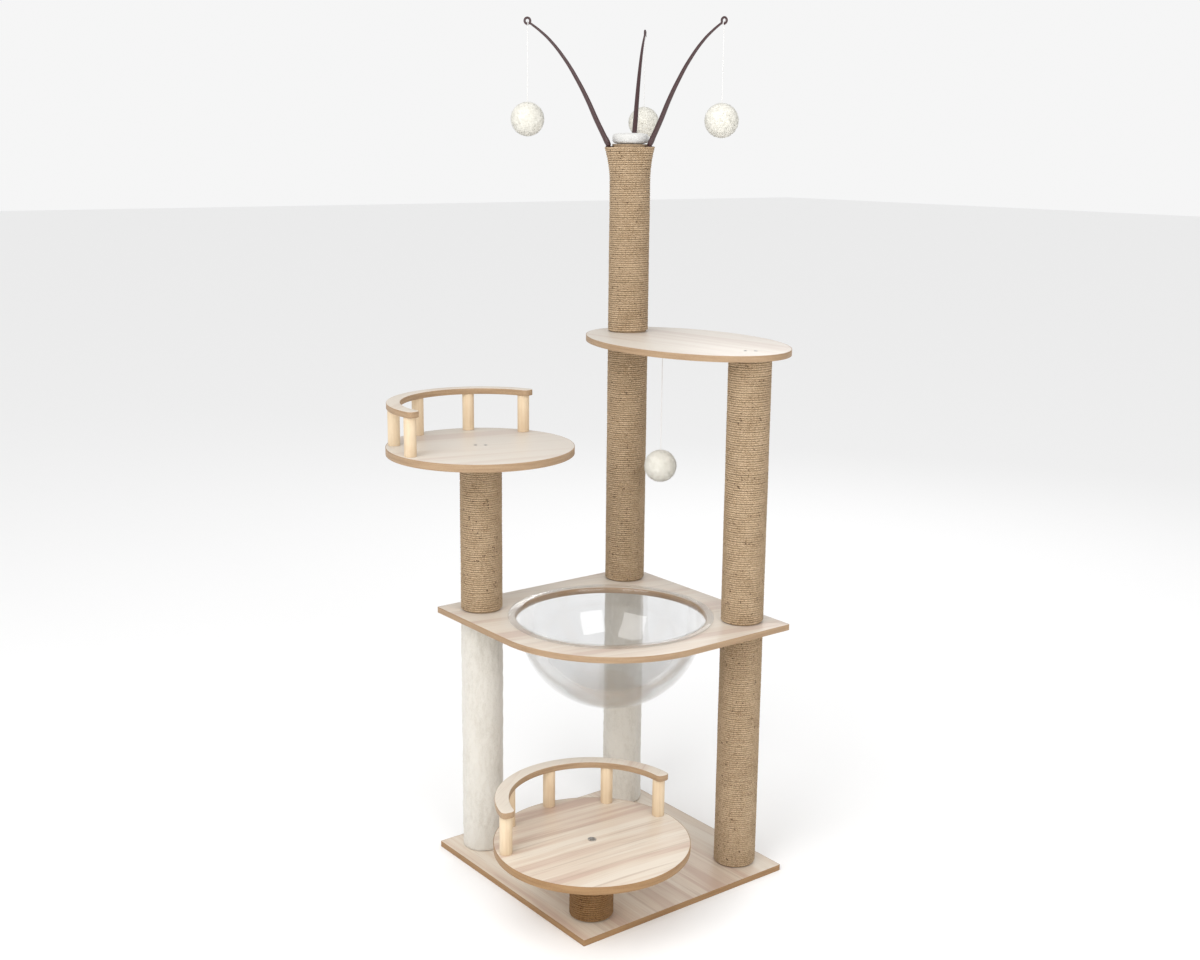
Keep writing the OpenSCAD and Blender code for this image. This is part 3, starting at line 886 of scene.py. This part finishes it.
def wrapPlush(name, node, seed):
    at = middle(node)
    low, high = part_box(node)
    outer = (high.y - low.y) / 2
    tall = high.z - low.z
    around = round(2 * math.pi * outer / plushWrap["cell"])
    rows = round(tall / plushWrap["cell"])
    bm = bmesh.new()
    bmesh.ops.create_grid(bm, x_segments=around, y_segments=rows, size=0.5)
    for v in bm.verts:  # the flat sheet is rolled round the tube
        a, z = 2 * math.pi * v.co.x, low.z + tall * (v.co.y + 0.5)
        v.co = (at.x + outer * math.cos(a), at.y + outer * math.sin(a), z)
    bmesh.ops.remove_doubles(bm, verts=bm.verts, dist=plushWrap["cell"] / 50)
    shift = Vector((seed * 3.1, seed * 1.7, seed * 2.3))
    tufts, clumps, fine = plushWrap["scales"]
    for v in bm.verts:
        way = Vector((v.co.x - at.x, v.co.y - at.y, 0)).normalized()
        spot = v.co + shift
        drawn = Vector((spot.x, spot.y, spot.z * plushWrap["fall"]))
        fluff = noise.noise(drawn * tufts) + 0.8 * noise.noise(drawn * clumps)
        fluff = plushWrap["tuft"] * fluff + plushWrap["fine"] * noise.noise(drawn * fine)
        end = min(v.co.z - low.z, high.z - v.co.z) / plushWrap["endRound"]
        bow = 0.0 if end > 1 else 1 - math.sqrt(max(0, 1 - (1 - end) ** 2))
        tuck = plushWrap["endRound"] * 0.5 * bow  # the sheet turns in at its ends
        v.co += way * (fluff - plushWrap["tuft"] * 0.4 - tuck)
    rims = [e for e in bm.edges if e.is_boundary]
    turned = bmesh.ops.extrude_edge_only(bm, edges=rims)["geom"]
    for v in vertsOf(turned):
        way = Vector((v.co.x - at.x, v.co.y - at.y, 0)).normalized()
        v.co = Vector((at.x, at.y, v.co.z)) + way * (outer - plushWrap["thick"])
    ends = [e for e in turned if isinstance(e, bmesh.types.BMEdge) and e.is_boundary]
    bmesh.ops.bridge_loops(bm, edges=ends)
    bmesh.ops.recalc_face_normals(bm, faces=bm.faces)
    finishPiece(name, bm, "stand", whitePlush, node)


windRope("leftUpperRope", "left_upper_rope", 3)
windRope("backMiddleRope", "back_middle_rope", 4)
windRope("backTopRope", "back_top_rope", 5, flared=True)
windRope("rightLowerRope", "right_lower_rope", 6)
windRope("rightUpperRope", "right_upper_rope", 7)
# the front rope's darker jute is painted shade from the low seat above it
windRope("frontRope", "front_rope", 8, finish=paintedShadeJute)
wrapPlush("leftLowerPlush", "left_lower_plush", 1)
wrapPlush("backLowerPlush", "back_lower_plush", 2)
print("rope and plush are on the posts")


bowlLook = {
    "reach": 0.187,  # radius outside, under the flange
    "wall": 0.003,
    "arc": 40,  # points from rim to foot
    "start": 0.02,  # radians below the rim, where the inside starts
    "round": 0.0013,
    "lip": 0.001,  # how far past the wall the flange's flat top starts
    "clear": 0.0002,  # gap between the flange's edge and the shelf
    "steps": 144,
}


def makeBowl():
    low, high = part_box("bowl")
    flange = high.x
    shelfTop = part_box("shelf_board")[1].z
    top, deep = high.z - shelfTop, shelfTop - low.z
    reach, wall, r = bowlLook["reach"], bowlLook["wall"], bowlLook["round"]

    def bowed(start, end, thinner):
        turns = np.linspace(start, end, bowlLook["arc"])
        return [((reach - thinner) * math.cos(a), (thinner - deep) * math.sin(a)) for a in turns]

    lip = [(reach - wall * 0.6, top - r), (reach + bowlLook["lip"], top), (flange - r, top),
           (flange, top - r), (flange, r * 0.8), (flange - r, bowlLook["clear"])]
    points = bowed(math.pi / 2, bowlLook["start"], wall) + lip + bowed(0, math.pi / 2, 0)
    bm = bmesh.new()
    verts = [bm.verts.new((max(x, 0.0), 0, shelfTop + z)) for x, z in points]
    edges = [bm.edges.new(pair) for pair in zip(verts, verts[1:])]
    bmesh.ops.spin(bm, geom=verts + edges, cent=(0, 0, 0), axis=(0, 0, 1), dvec=(0, 0, 0), angle=2 * math.pi,
                   steps=bowlLook["steps"], use_merge=True)
    bmesh.ops.remove_doubles(bm, verts=bm.verts, dist=5 * weld)
    bmesh.ops.recalc_face_normals(bm, faces=bm.faces)
    finishPiece("clearBowl", bm, "bowl", acrylic, "bowl")
    print("bowl is in the shelf")


makeBowl()


wandLook = {
    "pivotRadius": 0.0485,
    "pivotRise": 0.003,  # above the top of the rope
    "turns": {"left": 164, "right": 284, "back": 44},
    # in millimetres: how far out and up from the pivot, then the wand's width there
    "route": [(0, 0, 10.5), (2.8, 5, 12.0), (5.6, 10, 11.8), (8.5, 15, 10.6),
              (26.5, 48, 10.2), (45.5, 86, 9.3), (67.5, 124, 8.2), (93.5, 162, 7.0),
              (125.5, 198, 5.9), (147.5, 216, 5.1), (168, 229.5, 4.3)],
    "ring": (172.5, 233, 5.75, 2.25),  # out, up, its radius and the wire's
}


def makeWand(side):
    mm = 0.001
    centre = middle("back_middle_rope")
    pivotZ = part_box("back_top_rope")[1].z + wandLook["pivotRise"]
    turned = Matrix.Rotation(math.radians(wandLook["turns"][side]), 4, "Z")
    outward = Matrix.Translation((wandLook["pivotRadius"], 0, 0))
    place = Matrix.Translation((centre.x, centre.y, pivotZ)) @ turned @ outward
    curve = bpy.data.curves.new("wandCurve", "CURVE")
    curve.dimensions = "3D"
    curve.bevel_depth = 1.0
    curve.bevel_resolution = 5
    curve.resolution_u = 8
    curve.use_fill_caps = True
    line = curve.splines.new("BEZIER")
    line.bezier_points.add(len(wandLook["route"]) - 1)
    for point, (out, up, wide) in zip(line.bezier_points, wandLook["route"]):
        point.co = (out * mm, 0, up * mm)
        point.radius = wide * mm / 2
        point.handle_left_type = point.handle_right_type = "AUTO"
    holder = addObject("wandCurve", curve)
    mesh = bakeModifiers(holder)
    bpy.data.objects.remove(holder)
    bm = bmesh.new()
    bm.from_mesh(mesh)
    bmesh.ops.remove_doubles(bm, verts=bm.verts, dist=weld)
    bmesh.ops.create_uvsphere(bm, u_segments=24, v_segments=14, radius=wandLook["route"][0][2] * mm / 2)
    out, up, reach, wire = (value * mm for value in wandLook["ring"])
    ring = bmesh.ops.create_circle(bm, segments=14, radius=wire,
                                   matrix=Matrix.Translation((out + reach, 0, up)))["verts"]
    bmesh.ops.spin(bm, geom=ring + edgesRound(ring), cent=(out, 0, up),
                   axis=(0, 1, 0), dvec=(0, 0, 0), angle=2 * math.pi, steps=36, use_merge=True)
    bmesh.ops.remove_doubles(bm, verts=bm.verts, dist=weld)
    bmesh.ops.recalc_face_normals(bm, faces=bm.faces)
    bmesh.ops.transform(bm, matrix=place, verts=bm.verts)
    finishPiece(side + "Wand", bm, side + "_wand", darkWand, side + "_wand")


for side in wandLook["turns"]:
    makeWand(side)
dress(darkWand, "wand_sockets")
print("wands are in their sockets")


padLook = {
    "start": 0.90,  # the pad swells from this part of its size
    "bow": 0.3,  # rounding of its rims, as a part of its thickness
    "voxel": 0.0032,
    "pressure": 4.0,
    "frames": 20,
    "cap": 0.004,
    "fluff": 0.0007,
    "scales": (300, 900),
}


def makePad():
    low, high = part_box("top_pad")
    at = (low + high) / 2
    radius = (high.x - low.x) / 2
    tall = high.z - low.z
    bm = bmesh.new()
    bmesh.ops.create_cone(bm, cap_ends=True, segments=64, radius1=radius * padLook["start"],
                          radius2=radius * padLook["start"], depth=tall * padLook["start"],
                          matrix=Matrix.Translation(at))
    soften(bm, tall * padLook["bow"], 6)
    pad = addObject("topPad", asMesh("topPad", bm))
    remesh = pad.modifiers.new("remesh", "REMESH")
    remesh.mode = "VOXEL"
    remesh.voxel_size = padLook["voxel"]
    applyModifiers(pad)
    rest = [v.co.copy() for v in pad.data.vertices]
    cloth = pad.modifiers.new("cloth", "CLOTH")
    cloth.settings.use_pressure = True
    cloth.settings.uniform_pressure_force = padLook["pressure"]
    cloth.settings.effector_weights.gravity = 0
    for step in range(1, padLook["frames"] + 1):
        bpy.context.scene.frame_set(step)
    applyModifiers(pad)
    bpy.context.scene.frame_set(1)
    for v, before in zip(pad.data.vertices, rest):
        move = v.co - before
        if move.length > padLook["cap"]:
            v.co = before + move.normalized() * padLook["cap"]
    divide = pad.modifiers.new("divide", "SUBSURF")
    divide.levels = divide.render_levels = 1
    applyModifiers(pad)
    coarse, fine = padLook["scales"]
    for v in pad.data.vertices:
        v.co += v.normal * padLook["fluff"] * (noise.noise(v.co * coarse) + 0.6 * noise.noise(v.co * fine))
        v.co.z = min(max(v.co.z, low.z), high.z)
    pad.data.materials.append(padPlush)
    pad.data.shade_smooth()
    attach(pad, "stand")
    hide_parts("top_pad")
    print("pad is on the top post")


makePad()


headLook = {
    "sides": 32,
    "side": 0.6,  # part of the head's height that is upright
    "crown": 0.82,  # part of its radius that is left at the top
    "recess": 0.45,  # radius and depth of its recess, as parts of the head's radius and height
    "deep": 0.5,
    "screw": {"apart": (0.008, -0.006), "sunk": 0.001, "head": 0.0036, "tall": 0.0008, "shank": 0.002,
              "reach": 0.008},
    "bolt": {"head": 0.008, "tall": 0.002, "shank": 0.004},
}


def screwHead(bm, at, radius, tall):
    # a low round head with a six-sided recess
    def raiseEdge(edges, height):
        made = bmesh.ops.extrude_edge_only(bm, edges=edges)["geom"]
        verts = vertsOf(made)
        bmesh.ops.translate(bm, verts=verts, vec=(0, 0, height))
        return verts, [e for e in edgesRound(verts) if all(v in verts for v in e.verts)]

    rim = bmesh.ops.create_circle(bm, segments=headLook["sides"], radius=radius,
                                  matrix=Matrix.Translation(at))["verts"]
    side, sideEdges = raiseEdge(edgesRound(rim), tall * headLook["side"])
    crown, crownEdges = raiseEdge(sideEdges, tall * (1 - headLook["side"]))
    bmesh.ops.scale(bm, verts=crown, vec=(headLook["crown"], headLook["crown"], 1),
                    space=Matrix.Translation(-at))
    hexAt = at + Vector((0, 0, tall))
    socket = bmesh.ops.create_circle(bm, segments=6, radius=radius * headLook["recess"],
                                     matrix=Matrix.Translation(hexAt))["verts"]
    socketEdges = edgesRound(socket)
    bmesh.ops.bridge_loops(bm, edges=crownEdges + socketEdges)
    raiseEdge(socketEdges, -tall * headLook["deep"])


def shank(bm, at, radius, foot):
    half = Vector((at.x, at.y, (at.z + foot) / 2))
    bmesh.ops.create_cone(bm, cap_ends=True, segments=24, radius1=radius, radius2=radius, depth=at.z - foot,
                          matrix=Matrix.Translation(half))


def finishHeads(name, bm, node):
    bmesh.ops.holes_fill(bm, edges=[e for e in bm.edges if e.is_boundary], sides=0)
    bmesh.ops.recalc_face_normals(bm, faces=bm.faces)
    markSharp(finishPiece(name, bm, "stand", zinc, node))


def makeHeads():
    screw, bolt = headLook["screw"], headLook["bolt"]
    bm = bmesh.new()
    for post, top in (("left_upper_rope", "high_seat_board"), ("right_upper_rope", "perch_board")):
        at, under, top = middle(post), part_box(top)[0].z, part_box(top)[1].z
        for way in (-1, 1):
            place = Vector((at.x + screw["apart"][0] * way, at.y + screw["apart"][1] * way,
                            top - screw["sunk"]))
            screwHead(bm, place, screw["head"], screw["tall"] + screw["sunk"])
            shank(bm, place, screw["shank"], under - screw["reach"])
    finishHeads("seatScrews", bm, "seat_screws")
    at = middle("front_rope")
    at.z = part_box("low_seat_board")[1].z
    bm = bmesh.new()
    screwHead(bm, at, bolt["head"], bolt["tall"])
    shank(bm, at, bolt["shank"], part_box("low_seat_bolt")[0].z)
    finishHeads("seatBolt", bm, "low_seat_bolt")
    print("screws and the seat's bolt are in")


makeHeads()
dress(zinc, "base_bolts", "base_washers", "joining_studs", "spindle_screws", "perch_hook")
dress(paleBeech, "rail_dowels")
dress(blackPlastic, "post_plugs")
dress(tubeCard, "top_cap", "left_lower_tube", "left_upper_tube", "back_lower_tube", "back_middle_tube",
      "back_top_tube", "right_lower_tube", "right_upper_tube", "front_tube")
print("tubes, plugs and hidden steel have their finish")
